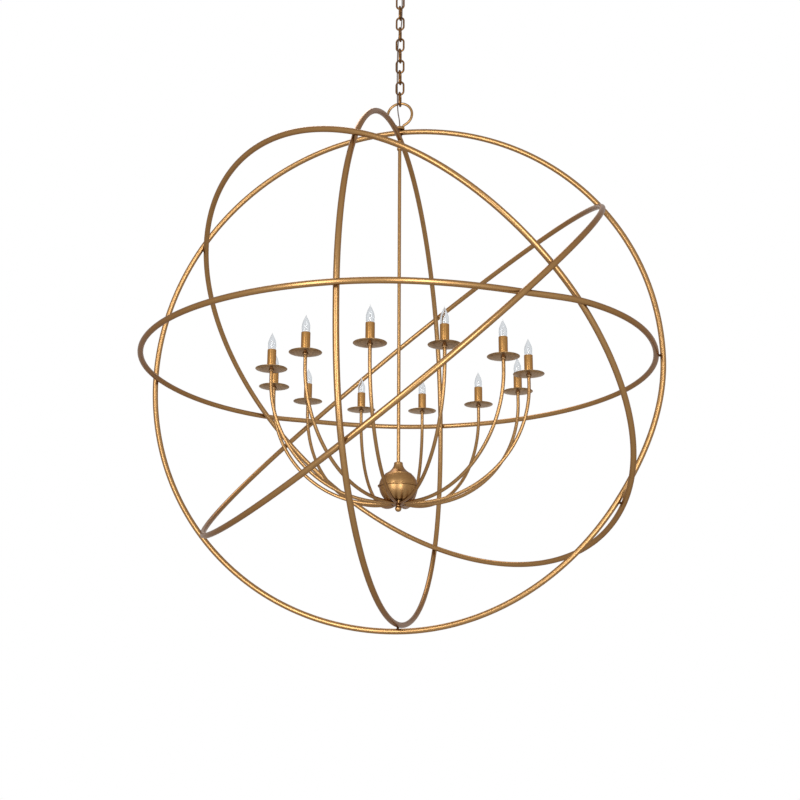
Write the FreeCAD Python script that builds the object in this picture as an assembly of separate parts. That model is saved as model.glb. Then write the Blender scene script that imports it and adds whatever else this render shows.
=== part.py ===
"""Orb chandelier: five hand-bent hoops round a twelve-candle cluster, hung on a chain.

Millimetres. The origin is on the ceiling, in the middle of the canopy strap, and +Z points up.
The wide upright hoop lies in the XZ plane and the narrow one in the YZ plane.
"""
import FreeCAD, Part
import math
import os

from FreeCAD import Vector

# Round forms are drawn with flats, and bends with straight lengths, so that the whole stays light
hoop_sides = 6
hoop_step = 8.5
wire_sides = 6
hub_sides = 22
stem_sides = 16
disc_sides = 14
candle_sides = 8
bend_lengths = 5
link_lengths = 6
loop_lengths = 12

# Orb
orb_diameter = 1524.0
hoop_tube = 15.9
crossing_gap = 3.0
crossing_pin = 7.0
pin_clearance = 0.05
leaning_right_heading = 35.0
leaning_right_tilt = -46.0
leaning_left_heading = 49.0
leaning_left_tilt = 44.5

# Ceiling strap and nipple
strap_length = 112.0
strap_width = 20.0
strap_thickness = 2.5
strap_slot_inset = 11.55
strap_slot_width = 5.2
strap_slot_length = 14.0
nipple_diameter = 10.0
nipple_bore = 6.4
nipple_length = 24.0
nipple_above_strap = 1.0
thread_clearance = 0.05

# Canopy, with the ring nut that carries it
canopy_diameter = 130.0
canopy_depth = 26.0
canopy_wall = 1.2
canopy_lip = 5.0
canopy_ceiling_gap = 0.3
collar_diameter = 38.0
collar_clearance = 0.3
collar_rise = 14.0
collar_below_ring = 2.0
ring_nut_wall = 5.0
ring_nut_height = 8.0
ring_nut_seat = 0.1

# Wire loops
ceiling_loop_radius = 13.0
ceiling_loop_wire = 5.5
ceiling_loop_mouth = 35.0
ceiling_loop_bend = 5.0
orb_loop_radius = 38.0
orb_loop_wire = 8.0
orb_loop_mouth = 25.0
orb_loop_bend = 10.0
loop_base_diameter = 30.0
loop_base_height = 9.0
loop_base_edge = 2.0

# Chain
link_count = 11
link_wire = 6.0
link_pitch = 37.65
link_width = 29.0
link_contact_gap = 0.15

# Cord
cord_diameter = 3.5
cord_side = 7.3
cord_front = 6.4
cord_loop_front = 6.8
cord_hole = 5.2
cord_cut_gap = 0.95
cord_cross_link = 7
cord_over_ceiling_bar = 4.0
cord_under_orb_bar = 22.5
cord_entry_rise = 22.0
cord_end_depth = 7.0

# Stem
stem_diameter = 10.3
stem_bore = 7.0
stem_clearance = 0.15
coupling_diameter = 14.0
coupling_height = 24.0
collar_band_diameter = 17.0
collar_band_height = 8.0
spacer_diameter = 15.0

# Hub, heights above the middle of the orb
hub_equator = -347.0
ball_diameter = 110.0
ball_rise = 47.0
ball_fall = 53.0
ball_wall = 1.5
band_stand = 4.0
band_height = 5.0
bell_neck_diameter = 25.0
bell_neck_top = -278.0
bell_foot_diameter = 76.0
bell_foot = -314.0
bell_neck_round = 3.0
bell_flare_turn = 45.0
bell_lip = 2.0
plate_thickness = 6.0
plate_underside = -391.0
plate_diameter = 56.0
boss_diameter = 42.6
boss_foot = -402.0
boss_foot_diameter = 17.0
boss_taper = 4.0
finial_diameter = 18.5
finial_neck = 11.0
finial_middle = -411.5
finial_socket_depth = 4.0
hub_seat = 0.1

# Arms
arm_count = 12
arm_diameter = 10.0
arm_level_end = 52.0
arm_reach = 378.0
arm_spring_line = -70.0
arm_top = -34.0
arm_seat = 0.2
arm_sweep_lengths = 10

# Candles, heights above the middle of the orb
disc_diameter = 90.0
disc_thickness = 1.4
disc_underside = -38.5
disc_dish = 2.5
disc_flat = 30.0
cup_diameter = 15.0
cup_height = 5.0
sleeve_diameter = 25.0
sleeve_wall = 0.9
sleeve_top = 20.0
socket_diameter = 17.0
socket_height = 40.0
socket_wall = 2.2
socket_floor = 12.0
bulb_base_length = 28.0
bulb_tip = 71.5
bulb_belly = 23.0
bulb_belly_height = 36.0
bulb_neck = 13.0
bulb_point = 1.3
bulb_lengths = 3
lamp_clearance = 0.25

# Sizes that follow from the ones above
axis_up = Vector(0, 0, 1)
axis_out = Vector(1, 0, 0)
axis_side = Vector(0, 1, 0)
full_turn = 2 * math.pi


def flat_radius(diameter, sides):
    """Distance from the middle of a bar to its flats, for a many-sided bar of the round one's section."""
    return diameter / 2 * math.sqrt(math.pi / (sides * math.tan(math.pi / sides)))


def corner_radius(diameter, sides):
    """Distance from the middle of a bar to its corners."""
    return flat_radius(diameter, sides) / math.cos(math.pi / sides)


hoop_flat = flat_radius(hoop_tube, hoop_sides)
weave = hoop_flat + crossing_gap / 2
hoop_radius = orb_diameter / 2 - weave - hoop_flat
link_bar = link_pitch / 2 + link_wire / 2
strap_slot_spacing = strap_length - 2 * strap_slot_inset
band_diameter = ball_diameter + 2 * band_stand
arm_root = boss_diameter / 2 + arm_seat
arm_level = plate_underside - arm_seat - flat_radius(arm_diameter, wire_sides)
canopy_foot = -canopy_depth
ring_nut_top = canopy_foot - ring_nut_seat
ring_nut_foot = ring_nut_top - ring_nut_height
collar_foot = ring_nut_foot - collar_below_ring
collar_top = canopy_foot + collar_rise


def loop_drop(radius, bend, mouth):
    """Height between a wire loop's middle and its two ends."""
    return (radius + bend) * math.cos(math.radians(mouth))


ceiling_loop_middle = collar_foot - loop_drop(ceiling_loop_radius, ceiling_loop_bend, ceiling_loop_mouth)
ceiling_loop_bar = ceiling_loop_middle - ceiling_loop_radius
top_contact = (ceiling_loop_wire + link_wire) / 2 + link_contact_gap
top_link_middle = ceiling_loop_bar + top_contact - link_bar


def link_middle(number):
    """Height of a chain link's middle; link 1 is the lowest."""
    return top_link_middle - (link_pitch - link_contact_gap) * (link_count - number)


orb_loop_bar = link_middle(1) - link_bar + (link_wire + orb_loop_wire) / 2 + link_contact_gap
orb_loop_middle = orb_loop_bar - orb_loop_radius
loop_base_top = orb_loop_middle - loop_drop(orb_loop_radius, orb_loop_bend, orb_loop_mouth)
orb_top = loop_base_top - loop_base_height
orb_middle = orb_top - orb_diameter / 2
stem_top = orb_top + loop_base_height / 2
stem_foot = orb_middle + boss_foot - finial_socket_depth


def turned(points, sides):
    """Solid turned about the Z axis from a closed outline of (radius, height) points, drawn with flats."""
    faces = []
    for k in range(sides):
        here = [turned_point(point, k, sides) for point in points]
        there = [turned_point(point, k + 1, sides) for point in points]
        for j in range(len(points)):
            corners = [here[j - 1], there[j - 1], there[j], here[j]]
            ring = [corner for i, corner in enumerate(corners) if not corner.isEqual(corners[i - 1], 1e-9)]
            if len(ring) > 2:
                faces.append(Part.Face(Part.makePolygon(ring + ring[:1])))
    return solid_of(faces)


def turned_point(point, step, sides):
    """Place of an outline point on one corner of a turned shape."""
    turn = full_turn * (step + 0.5) / sides
    return Vector(point[0] * math.cos(turn), point[0] * math.sin(turn), point[1])


def solid_of(faces):
    """Closed solid from its faces, facing outwards."""
    skin = Part.makeShell(faces)
    skin.sewShape()
    body = Part.makeSolid(Part.Shell(skin.Faces))
    if body.Volume < 0:
        body.reverse()
    return body


def round_points(centre, radii, start, end, steps):
    """Points on a round or an oval outline between two angles in degrees."""
    points = []
    for k in range(steps + 1):
        turn = math.radians(start + (end - start) * k / steps)
        points.append((centre[0] + radii[0] * math.cos(turn), centre[1] + radii[1] * math.sin(turn)))
    return points


def tube(outer, inner, low, high, sides):
    """Plain ring between two heights."""
    return turned([(inner, low), (outer, low), (outer, high), (inner, high)], sides)


def bend(centre, radius, start, end, lengths):
    """Corners of a bend in the XZ plane, made of straight lengths that touch the round one."""
    step = math.radians(end - start) / lengths
    reach = radius / math.cos(step / 2)
    turns = [math.radians(start) + step * (k + 0.5) for k in range(lengths)]
    return [centre + Vector(reach * math.cos(turn), 0, reach * math.sin(turn)) for turn in turns]


def bar(points, across, diameter, sides, closed=False):
    """Bar of straight lengths with mitred corners; its flats face within the plane that it is bent in.

    across is the direction across that plane.
    """
    count = len(points)
    runs = [(points[(k + 1) % count] - points[k]).normalize() for k in range(count if closed else count - 1)]
    radius = corner_radius(diameter, sides)
    beside = runs[0].cross(across)
    turns = [full_turn * k / sides for k in range(sides)]
    corners = [points[0] + across * (radius * math.cos(turn)) + beside * (radius * math.sin(turn)) for turn in turns]
    if closed:
        corners = mitred(corners, points[0], runs[-1] + runs[0], runs[0])
    first = corners
    faces = [] if closed else [Part.Face(Part.makePolygon(corners + corners[:1]))]
    for k, run in enumerate(runs):
        if closed and k == count - 1:
            ahead = first
        else:
            plane = run if k == len(runs) - 1 else run + runs[k + 1]
            ahead = mitred(corners, points[k + 1], plane, run)
        for j in range(sides):
            faces.append(Part.Face(Part.makePolygon(
                [corners[j - 1], corners[j], ahead[j], ahead[j - 1], corners[j - 1]])))
        corners = ahead
    if not closed:
        faces.append(Part.Face(Part.makePolygon(corners + corners[:1])))
    return solid_of(faces)


def mitred(corners, point, plane, run):
    """Corners slid along a run to the plane through a point."""
    return [corner + run * ((point - corner).dot(plane) / run.dot(plane)) for corner in corners]


def spun(shape, angle):
    """Copy of a shape, turned about the vertical."""
    copy = shape.copy()
    copy.rotate(Vector(), axis_up, angle)
    return copy


def facing(heading, tilt):
    """Unit vector from a compass heading and a tilt above the level, in degrees."""
    level = math.cos(math.radians(tilt))
    return Vector(
        level * math.cos(math.radians(heading)),
        level * math.sin(math.radians(heading)),
        math.sin(math.radians(tilt)),
    )


hoop_faces = {
    "hoop_upright_wide": facing(-90, 0),
    "hoop_level": facing(0, 90),
    "hoop_upright_narrow": facing(0, 0),
    "hoop_leaning_right": facing(leaning_right_heading, leaning_right_tilt),
    "hoop_leaning_left": facing(leaning_left_heading, leaning_left_tilt),
}

# Which hoop passes outside where two of them cross: first at one crossing, then opposite it
wide, level, narrow, right, left = hoop_faces
outer_hoop = {
    (wide, level): (wide, wide),
    (wide, narrow): (wide, wide),
    (wide, right): (wide, wide),
    (wide, left): (wide, left),
    (level, narrow): (level, level),
    (level, right): (right, right),
    (level, left): (level, level),
    (narrow, right): (right, narrow),
    (narrow, left): (left, narrow),
    (right, left): (right, right),
}


def crossings():
    """Every crossing of two hoops, as its direction from the orb's middle, its outer and its inner hoop."""
    found = []
    for pair, outer in outer_hoop.items():
        direction = hoop_faces[pair[0]].cross(hoop_faces[pair[1]])
        direction.normalize()
        for sign, outside in zip((1, -1), outer):
            inside = pair[1] if outside == pair[0] else pair[0]
            found.append((direction * sign, outside, inside))
    return found


def hoop_points(name):
    """Corners of one hoop's straight lengths, which step out and in again from crossing to crossing."""
    face = hoop_faces[name]
    own = [(direction, outside) for direction, outside, inside in crossings() if name in (outside, inside)]
    first = own[0][0]
    side = face.cross(first)
    stations = []
    for direction, outside in own:
        turn = math.atan2(side.dot(direction), first.dot(direction)) % full_turn
        stations.append((round(turn, 9) % full_turn, hoop_radius + (weave if name == outside else -weave)))
    stations.sort()
    points = []
    for (start, here), (end, there) in zip(stations, stations[1:] + stations[:1]):
        span = (end - start) % full_turn
        lengths = max(2, round(math.degrees(span) / hoop_step))
        half = span / lengths / 2
        for k in range(lengths):
            share = (1 - math.cos(math.pi * k / (lengths - 1))) / 2
            reach = (here + (there - here) * share) / math.cos(half)
            turn = start + half * (2 * k + 1)
            points.append(first * (reach * math.cos(turn)) + side * (reach * math.sin(turn)))
    return points


def hoop(name):
    """One hoop of round tube; the two upright ones are drilled at the top for the stem."""
    body = bar(hoop_points(name), hoop_faces[name], hoop_tube, hoop_sides, closed=True)
    if name in (wide, narrow):
        hole = Part.makeCylinder(stem_diameter / 2 + stem_clearance, orb_diameter / 2)
        body = body.cut(hole)
    body.translate(Vector(0, 0, orb_middle))
    return body


def hoop_pins():
    """Short pins between the hoops where they cross, and a spacer ring round the stem."""
    low = hoop_radius - weave + hoop_flat + pin_clearance
    high = hoop_radius + weave - hoop_flat - pin_clearance
    pieces = []
    for direction, _, _ in crossings():
        if direction.z > 1 - 1e-6:
            pieces.append(tube(spacer_diameter / 2, stem_diameter / 2 + stem_clearance, low, high, stem_sides))
        else:
            across = direction.cross(axis_up if abs(direction.z) < 0.9 else axis_out).normalize()
            pieces.append(bar([direction * low, direction * high], across, crossing_pin, wire_sides))
    group = Part.makeCompound(pieces)
    group.translate(Vector(0, 0, orb_middle))
    return group


def wire_loop(radius, wire, mouth, bend_radius, middle, upside):
    """Round wire loop in the XZ plane, whose two ends turn together and stand side by side."""
    ends = radius * math.sin(math.radians(mouth)) - bend_radius * (1 - math.sin(math.radians(mouth)))
    drop = loop_drop(radius, bend_radius, mouth)
    knee = Vector(ends + bend_radius, 0, -drop)
    points = [Vector(ends, 0, -drop)]
    points += bend(knee, bend_radius, 180, 90 + mouth, 2)
    points += bend(Vector(), radius, mouth - 90, 270 - mouth, loop_lengths)
    points += bend(Vector(-knee.x, 0, knee.z), bend_radius, 90 - mouth, 0, 2)
    points.append(Vector(-ends, 0, -drop))
    body = bar(points, axis_side, wire, wire_sides)
    if upside:
        body.rotate(Vector(), axis_out, 180)
    body.translate(Vector(0, 0, middle))
    return body


def strap():
    """Flat strap that screws to the ceiling box through two slots."""
    plate = Part.makeBox(
        strap_length, strap_width, strap_thickness,
        Vector(-strap_length / 2, -strap_width / 2, -strap_thickness),
    )
    run = strap_slot_length - strap_slot_width
    for side in (-1, 1):
        middle = side * strap_slot_spacing / 2
        slot = Part.makeBox(run, strap_slot_width, strap_thickness,
                            Vector(middle - run / 2, -strap_slot_width / 2, -strap_thickness))
        for end in (-1, 1):
            slot = slot.fuse(Part.makeCylinder(strap_slot_width / 2, strap_thickness,
                                               Vector(middle + end * run / 2, 0, -strap_thickness)))
        plate = plate.cut(slot)
    bore = Part.makeCylinder(nipple_diameter / 2 + thread_clearance, strap_thickness, Vector(0, 0, -strap_thickness))
    return plate.cut(bore).removeSplitter()


def nipple():
    """Threaded tube that joins the strap to the collar loop."""
    top = -nipple_above_strap
    return tube(nipple_diameter / 2, nipple_bore / 2, top - nipple_length, top, stem_sides)


def collar_loop():
    """Threaded collar that hangs on the nipple and ends in the loop for the chain."""
    outer = collar_diameter / 2
    nipple_seat = nipple_diameter / 2 + thread_clearance
    nipple_end = -nipple_above_strap - nipple_length
    collar = turned([
        (nipple_seat, collar_top), (outer, collar_top), (outer, collar_foot),
        (cord_hole / 2, collar_foot), (cord_hole / 2, nipple_end), (nipple_seat, nipple_end),
    ], hub_sides)
    loop = wire_loop(ceiling_loop_radius, ceiling_loop_wire, ceiling_loop_mouth, ceiling_loop_bend,
                     ceiling_loop_middle, True)
    return collar.fuse(loop)


def ring_nut():
    """Knurled ring that screws up the collar and holds the canopy to the ceiling."""
    inner = collar_diameter / 2 + thread_clearance
    return tube(inner + ring_nut_wall, inner, ring_nut_foot, ring_nut_top, hub_sides)


def canopy():
    """Spun cover with a straight lip, a round side and a flat floor round the collar."""
    outer = canopy_diameter / 2
    hole = collar_diameter / 2 + collar_clearance
    top = -canopy_ceiling_gap
    lip = top - canopy_lip
    round_side = lip - canopy_foot
    centre = (outer - round_side, lip)
    inner_side = round_side - canopy_wall
    outline = [(outer, top)]
    outline += round_points(centre, (round_side, round_side), 0, -90, bend_lengths)
    outline += [(hole, canopy_foot), (hole, canopy_foot + canopy_wall)]
    outline += round_points(centre, (inner_side, inner_side), -90, 0, bend_lengths)
    outline.append((outer - canopy_wall, top))
    return turned(outline, hub_sides)


def chain_link(number):
    """One oval link of bent wire; odd links stand across the even ones."""
    half = link_width / 2 - link_wire / 2
    rise = link_bar - half
    points = bend(Vector(0, 0, rise), half, 0, 180, link_lengths)
    points += bend(Vector(0, 0, -rise), half, 180, 360, link_lengths)
    body = bar(points, axis_side, link_wire, wire_sides, closed=True)
    if number % 2:
        body = spun(body, 90)
    body.translate(Vector(0, 0, link_middle(number)))
    return body


def cord_route():
    """Points of the cord, tight along the chain: down one side, through one link, and into the stem."""
    cross = link_middle(cord_cross_link)
    reach = link_pitch / 2
    return [
        Vector(0, 0, collar_foot + cord_end_depth),
        Vector(0, 0, collar_foot - cord_end_depth),
        Vector(cord_side, -cord_loop_front, ceiling_loop_bar + cord_over_ceiling_bar),
        Vector(cord_side, -cord_front, cross + reach),
        Vector(-cord_side, -cord_front, cross - reach),
        Vector(-cord_side, -cord_loop_front, orb_loop_bar - cord_under_orb_bar),
        Vector(0, 0, loop_base_top + cord_entry_rise),
        Vector(0, 0, loop_base_top - cord_end_depth),
    ]


def tangent_arc(start, direction, end):
    """Arc that leaves its start along a direction and ends at a point."""
    chord = end - start
    across = chord - direction * chord.dot(direction)
    across.normalize()
    radius = chord.dot(chord) / (2 * chord.dot(across))
    centre = start + across * radius
    spoke = (start + end) * 0.5 - centre
    spoke.normalize()
    return Part.Arc(start, centre + spoke * radius, end).toShape()


def cord_section(middle):
    """Outline of the cord, drawn with flats, across the vertical."""
    radius = corner_radius(cord_diameter, wire_sides)
    turns = [full_turn * (k + 0.5) / wire_sides for k in range(wire_sides + 1)]
    return Part.makePolygon([middle + Vector(radius * math.cos(turn), radius * math.sin(turn), 0) for turn in turns])


def cord():
    """Whole cord, as straight runs joined by tangent arcs, with the radius of each bend and its length."""
    points = cord_route()
    edges = []
    radii = []
    here = points[0]
    for before, corner, after in zip(points, points[1:], points[2:]):
        back = before - corner
        ahead = after - corner
        shorter = min(back.Length, ahead.Length)
        turn = math.pi - back.getAngle(ahead)
        radius = 0.45 * shorter / math.tan(turn / 2)
        cut = 0.45 * shorter
        back.normalize()
        ahead.normalize()
        start = corner + back * cut
        end = corner + ahead * cut
        edges.append(Part.makeLine(here, start))
        edges.append(tangent_arc(start, back * -1, end))
        radii.append(radius)
        here = end
    edges.append(Part.makeLine(here, points[-1]))
    path = Part.Wire(edges)
    body = path.makePipeShell([cord_section(points[0])], True, False)
    return body, path.Length, radii


def cord_cuts():
    """Heights where the cord passes from one link to the next, from the ceiling down."""
    heights = [ceiling_loop_bar + top_contact / 2]
    for number in range(link_count, 1, -1):
        heights.append((link_middle(number) + link_middle(number - 1)) / 2)
    heights.append(orb_loop_bar - (link_wire + orb_loop_wire) / 4)
    return heights


def cord_pieces():
    """The cord in the lengths that each link carries, named from the ceiling down."""
    whole, length, radii = cord()
    volume = flat_radius(cord_diameter, wire_sides) ** 2 * wire_sides * math.tan(math.pi / wire_sides) * length
    print("cord length", round(length, 1), "bend radii", [round(radius, 1) for radius in radii])
    print("cord volume", round(whole.Volume, 1), "section times length", round(volume, 1))
    tops = [0] + [height - cord_cut_gap / 2 for height in cord_cuts()]
    feet = [height + cord_cut_gap / 2 for height in cord_cuts()] + [orb_middle]
    names = ["cord_at_ceiling"]
    names += [f"cord_at_link_{number:02d}" for number in range(link_count, 0, -1)]
    names += ["cord_at_orb"]
    pieces = {}
    for name, top, foot in zip(names, tops, feet):
        slab = Part.makeCylinder(link_width, top - foot, Vector(0, 0, foot))
        pieces[name] = whole.common(slab)
    return pieces


def orb_loop():
    """Large wire loop, welded to the round base that stands on the top crossing."""
    outer = loop_base_diameter / 2
    seat = stem_diameter / 2 + stem_clearance
    half = orb_top + loop_base_height / 2
    base = turned([
        (seat, orb_top), (outer, orb_top), (outer, loop_base_top - loop_base_edge),
        (outer - loop_base_edge, loop_base_top), (cord_hole / 2, loop_base_top),
        (cord_hole / 2, half), (seat, half),
    ], hub_sides)
    return base.fuse(wire_loop(orb_loop_radius, orb_loop_wire, orb_loop_mouth, orb_loop_bend,
                               orb_loop_middle, False))


def stem():
    """Long tube from the loop's base, through both upright hoops, down to the finial."""
    return tube(stem_diameter / 2, stem_bore / 2, stem_foot, stem_top, stem_sides)


def stem_coupling():
    """Coupling under the top crossing, with a wider band at its foot."""
    top = orb_middle + hoop_radius - weave - hoop_flat - hub_seat
    seat = stem_diameter / 2 + stem_clearance
    waist = top - coupling_height
    foot = waist - collar_band_height
    slim = coupling_diameter / 2
    bulge = (collar_band_diameter / 2 - slim, collar_band_height / 2)
    band = round_points((slim, (waist + foot) / 2), bulge, 90, -90, bend_lengths)
    return turned([(seat, foot), (seat, top), (slim, top)] + band, stem_sides)


def at_orb(shape):
    """Moves a shape, drawn about the orb's middle, to its height."""
    shape.translate(Vector(0, 0, orb_middle))
    return shape


def hub_bell():
    """Bell-shaped cap round the foot of the stem: a round neck that sweeps out to a wide foot."""
    seat = stem_diameter / 2 + stem_clearance
    neck = bell_neck_diameter / 2
    foot = bell_foot_diameter / 2
    shoulder = bell_neck_top - bell_neck_round
    turn = math.radians(bell_flare_turn)
    radii = ((foot - neck) / (1 - math.cos(turn)), (shoulder - bell_foot - bell_lip) / math.sin(turn))
    flare = round_points((neck + radii[0], shoulder), radii, 180, 180 + bell_flare_turn, bend_lengths)
    lining = [(radius - ball_wall, height - ball_wall) for radius, height in reversed(flare)]
    outline = [(seat, bell_neck_top), (neck - bell_neck_round, bell_neck_top)] + flare + [(foot, bell_foot)]
    return at_orb(turned(outline + lining + [(seat, shoulder - ball_wall)], hub_sides))


def shell(low, high):
    """Thin round shell of the hub ball between two heights."""
    rise = ball_rise if low > hub_equator else ball_fall
    outside = ball_diameter / 2
    ends = [math.degrees(math.asin((height - hub_equator) / rise)) for height in (low, high)]
    skin = round_points((0, hub_equator), (outside, rise), ends[0], ends[1], bend_lengths)
    lining = [(radius - ball_wall, height) for radius, height in reversed(skin)]
    return at_orb(turned(skin + lining, hub_sides))


def hub_upper_shell():
    """Upper half of the ball, open at the top under the bell."""
    return shell(hub_equator + band_height / 2 + hub_seat, bell_foot - hub_seat)


def hub_lower_shell():
    """Lower half of the ball, open at the foot for the arm plate."""
    return shell(plate_underside + plate_thickness + hub_seat, hub_equator - band_height / 2 - hub_seat)


def hub_band():
    """Raised ring round the ball's middle, between its two halves."""
    inner = ball_diameter / 2 - ball_wall
    half = band_height / 2
    edge = round_points((band_diameter / 2 - half, hub_equator), (half, half), -90, 90, bend_lengths)
    return at_orb(turned(edge + [(inner, hub_equator + half), (inner, hub_equator - half)], hub_sides))


def arm_plate():
    """Turned plate that closes the ball, with a boss under it that the twelve arms are fixed to."""
    top = plate_underside + plate_thickness
    wide_edge = ball_diameter / 2 * math.sqrt(1 - ((top - hub_equator) / ball_fall) ** 2)
    seat = stem_diameter / 2 + stem_clearance
    boss = boss_diameter / 2
    return at_orb(turned([
        (seat, top), (wide_edge, top), (plate_diameter / 2, plate_underside), (boss, plate_underside),
        (boss, boss_foot + boss_taper), (boss_foot_diameter / 2, boss_foot), (seat, boss_foot),
    ], hub_sides))


def finial():
    """Small ball that screws on the foot of the stem under the boss."""
    seat = stem_diameter / 2 + stem_clearance
    neck = finial_neck / 2 + stem_clearance
    radius = finial_diameter / 2
    top = boss_foot - hub_seat
    socket = boss_foot - finial_socket_depth - stem_clearance
    join = math.degrees(math.acos(neck / radius))
    ball = round_points((0, finial_middle), (radius, radius), join, -90, bend_lengths)
    return at_orb(turned([(0, socket), (seat, socket), (seat, top), (neck, top)] + ball, stem_sides))


def arm():
    """One bent arm in the XZ plane: level out from the boss, then a long oval sweep up to the candle."""
    wide = arm_reach - arm_level_end
    high = arm_spring_line - arm_level
    points = [Vector(arm_root, 0, arm_level)]
    for corner in bend(Vector(), 1, 270, 360, arm_sweep_lengths):
        points.append(Vector(arm_level_end + wide * corner.x, 0, arm_spring_line + high * corner.z))
    points.append(Vector(arm_reach, 0, arm_top))
    return bar(points, axis_side, arm_diameter, wire_sides)


def arm_angle(number):
    """Heading of an arm, in degrees from +X."""
    return 360.0 * (number - 1) / arm_count


def candles(piece):
    """Twelve copies of a candle piece, one at the end of each arm."""
    copies = []
    for number in range(1, arm_count + 1):
        copy = piece.copy()
        copy.translate(Vector(arm_reach, 0, orb_middle))
        copies.append(spun(copy, arm_angle(number)))
    return Part.makeCompound(copies)


def drip_disc():
    """Thin drip disc with a turned-up edge and a cup under it, bored for the arm."""
    bore = corner_radius(arm_diameter, wire_sides) + arm_seat
    cup = cup_diameter / 2
    edge = disc_diameter / 2
    top = disc_underside + disc_thickness
    cup_foot = disc_underside - cup_height
    return turned([
        (bore, top), (disc_flat, top), (edge, top + disc_dish), (disc_flat, disc_underside),
        (cup, disc_underside), (cup, cup_foot), (bore, cup_foot),
    ], disc_sides)


def candle_sleeve():
    """Plain metal sleeve that stands on the disc."""
    outer = sleeve_diameter / 2
    return tube(outer, outer - sleeve_wall, disc_underside + disc_thickness, sleeve_top, candle_sides)


def lamp_socket():
    """Lamp socket on the end of the arm, with a blind hole for the lamp's base."""
    outer = socket_diameter / 2
    foot = arm_top + hub_seat
    top = foot + socket_height
    inner = outer - socket_wall
    floor = foot + socket_floor
    return turned([(0, foot), (outer, foot), (outer, top), (inner, top), (inner, floor), (0, floor)], candle_sides)


def bulb():
    """Flame-shaped lamp: screw base, belly and a drawn-out tip."""
    base = socket_diameter / 2 - socket_wall - lamp_clearance
    foot = arm_top + hub_seat + socket_floor + lamp_clearance
    shoulder = foot + bulb_base_length
    neck = bulb_neck / 2
    belly = bulb_belly / 2
    outline = [(0, foot), (base, foot), (base, shoulder)]
    outline += round_points((neck, bulb_belly_height), (belly - neck, bulb_belly_height - shoulder), -90, 0, 2)
    for k in range(1, bulb_lengths + 1):
        part = k / bulb_lengths
        width = belly * math.cos(math.pi / 2 * part) ** bulb_point if part < 1 else 0
        outline.append((width, bulb_belly_height + (bulb_tip - bulb_belly_height) * part))
    return turned(outline, candle_sides)


def write(name, shape):
    """Writes one sub-part and says how many solids it holds."""
    if not shape.isValid() or not shape.Solids:
        raise ValueError(f"{name} is not a sound solid")
    shape.exportStep(f"parts/{name}.step")
    print(name, len(shape.Solids), "solids", round(shape.Volume / 1000, 1), "cm3")


def main():
    """Builds every sub-part and writes it."""
    os.makedirs("parts", exist_ok=True)
    pieces = {
        "ceiling_strap": strap(),
        "threaded_nipple": nipple(),
        "collar_loop": collar_loop(),
        "ring_nut": ring_nut(),
        "canopy": canopy(),
        "orb_loop": orb_loop(),
        "stem": stem(),
        "stem_coupling": stem_coupling(),
        "hoop_pins": hoop_pins(),
        "hub_bell": hub_bell(),
        "hub_upper_shell": hub_upper_shell(),
        "hub_band": hub_band(),
        "hub_lower_shell": hub_lower_shell(),
        "arm_plate": arm_plate(),
        "finial": finial(),
        "drip_discs": candles(drip_disc()),
        "candle_sleeves": candles(candle_sleeve()),
        "lamp_sockets": candles(lamp_socket()),
        "bulbs": candles(bulb()),
    }
    for name in hoop_faces:
        pieces[name] = hoop(name)
    for number in range(1, link_count + 1):
        pieces[f"chain_link_{number:02d}"] = chain_link(number)
    for number in range(1, arm_count + 1):
        pieces[f"arm_{number:02d}"] = spun(at_orb(arm()), arm_angle(number))
    pieces.update(cord_pieces())
    for name, shape in pieces.items():
        write(name, shape)
    print("orb middle", round(orb_middle, 2), len(pieces), "nodes")


main()
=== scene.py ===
"""Looks of the orb chandelier: woven hoops, candle cluster, chain, cord and ceiling fitting.

Metres, in the part's own frame: the origin is on the ceiling and +Z points up. The wide upright
hoop lies in the XZ plane and the narrow one in the YZ plane.
"""
import logging
import math
from dataclasses import dataclass, field
from enum import Enum
from functools import cache
from typing import Any, Sequence

import bmesh
import bpy
from mathutils import Euler, Matrix, Vector


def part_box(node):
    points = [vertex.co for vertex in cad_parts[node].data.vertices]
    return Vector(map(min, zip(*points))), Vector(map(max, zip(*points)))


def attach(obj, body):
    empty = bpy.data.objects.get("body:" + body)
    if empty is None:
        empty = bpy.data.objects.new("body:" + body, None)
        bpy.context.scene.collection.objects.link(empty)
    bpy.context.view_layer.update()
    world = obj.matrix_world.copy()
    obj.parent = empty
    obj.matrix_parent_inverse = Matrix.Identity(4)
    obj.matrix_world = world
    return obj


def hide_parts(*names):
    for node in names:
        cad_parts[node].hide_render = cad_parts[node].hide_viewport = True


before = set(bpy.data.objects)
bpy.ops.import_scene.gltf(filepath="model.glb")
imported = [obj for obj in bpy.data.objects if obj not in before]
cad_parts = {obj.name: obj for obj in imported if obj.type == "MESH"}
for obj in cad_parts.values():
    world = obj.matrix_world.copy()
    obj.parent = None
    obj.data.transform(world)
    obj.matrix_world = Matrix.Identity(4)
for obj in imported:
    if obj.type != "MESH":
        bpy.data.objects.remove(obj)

log = logging.getLogger("orb_chandelier")
mm = 0.001
seam = 0.1 * mm
hairline = 0.05 * mm
on_axis = 1e-7
touching = 1e-6
full_turn = 2 * math.pi
sharp_edge = math.radians(40.0)
noise_middle = 0.5
Outline = list[tuple[float, float]]
Colour = tuple[float, float, float]
Tint = tuple[float, float, float, float]
Links = dict[str | int, Any]


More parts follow.
